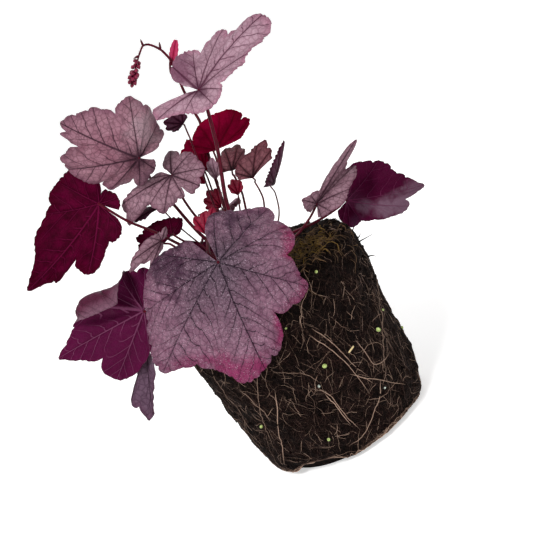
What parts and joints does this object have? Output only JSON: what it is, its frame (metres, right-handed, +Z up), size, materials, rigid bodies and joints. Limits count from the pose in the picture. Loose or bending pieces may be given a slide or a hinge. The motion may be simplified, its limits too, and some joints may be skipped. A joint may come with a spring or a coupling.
{
  "type": "heuchera plant",
  "caption": "Young heuchera with its bare potting root ball, woody crown, lobed silvery and burgundy leaves on thin stalks and a nodding flower stem in bud.",
  "frame": {"origin": "middle of the flat base of the root ball, on the surface it stands on", "axes": "+Z up along the root ball's axis, -Y toward the side that the picture shows, +X to the right in it"},
  "size_m": [0.2402, 0.1495, 0.2629],
  "materials": {
    "root_ball": "near-black peat bound by pale fine roots, rough",
    "crown": "dark woody crown, rough",
    "flower_stem": "dark crimson stem and buds, matt",
    "leaf_front": "pinkish mauve leaf with dark veins, matt",
    "leaf_low_left": "deep burgundy leaf, matt",
    "leaf_hanging": "silvery grey-mauve leaf with dark veins, matt",
    "leaf_far_left": "deep burgundy leaf, matt",
    "leaf_upper_left": "silvery grey-mauve leaf with dark veins, matt",
    "leaf_top": "pinkish mauve leaf with dark veins, matt",
    "leaf_under_top": "silvery grey-mauve leaf with dark veins, matt",
    "leaf_red": "crimson leaf, matt",
    "leaf_mottled": "crimson leaf, matt",
    "leaf_young": "silvery grey-mauve leaf with dark veins, matt",
    "leaf_inner_fan": "silvery grey-mauve leaf with dark veins, matt",
    "leaf_inner_low": "crimson leaf, matt",
    "leaf_inner_right": "crimson leaf, matt",
    "leaf_round": "silvery grey-mauve leaf with dark veins, matt",
    "leaf_fan": "silvery grey-mauve leaf with dark veins, matt",
    "leaf_centre": "silvery grey-mauve leaf with dark veins, matt",
    "leaf_dark_middle": "deep burgundy leaf, matt",
    "leaf_folded": "deep burgundy leaf, matt",
    "leaf_small_silver": "silvery grey-mauve leaf with dark veins, matt",
    "leaf_right_silver": "silvery grey-mauve leaf with dark veins, matt",
    "leaf_right_dark": "deep burgundy leaf, matt",
    "leaf_narrow": "deep burgundy leaf, matt",
    "leaf_back_left": "silvery grey-mauve leaf with dark veins, matt",
    "leaf_back_right": "pinkish mauve leaf with dark veins, matt",
    "leaf_back_middle": "pinkish mauve leaf with dark veins, matt"
  },
  "bodies": {
    "root": {"root_ball": "root_ball", "crown": "crown", "flower_stem": "flower_stem", "leaf_front": "leaf_front", "leaf_low_left": "leaf_low_left", "leaf_hanging": "leaf_hanging", "leaf_far_left": "leaf_far_left", "leaf_upper_left": "leaf_upper_left", "leaf_top": "leaf_top", "leaf_under_top": "leaf_under_top", "leaf_red": "leaf_red", "leaf_mottled": "leaf_mottled", "leaf_young": "leaf_young", "leaf_inner_fan": "leaf_inner_fan", "leaf_inner_low": "leaf_inner_low", "leaf_inner_right": "leaf_inner_right", "leaf_round": "leaf_round", "leaf_fan": "leaf_fan", "leaf_centre": "leaf_centre", "leaf_dark_middle": "leaf_dark_middle", "leaf_folded": "leaf_folded", "leaf_small_silver": "leaf_small_silver", "leaf_right_silver": "leaf_right_silver", "leaf_right_dark": "leaf_right_dark", "leaf_narrow": "leaf_narrow", "leaf_back_left": "leaf_back_left", "leaf_back_right": "leaf_back_right", "leaf_back_middle": "leaf_back_middle"}
  },
  "joints": []
}
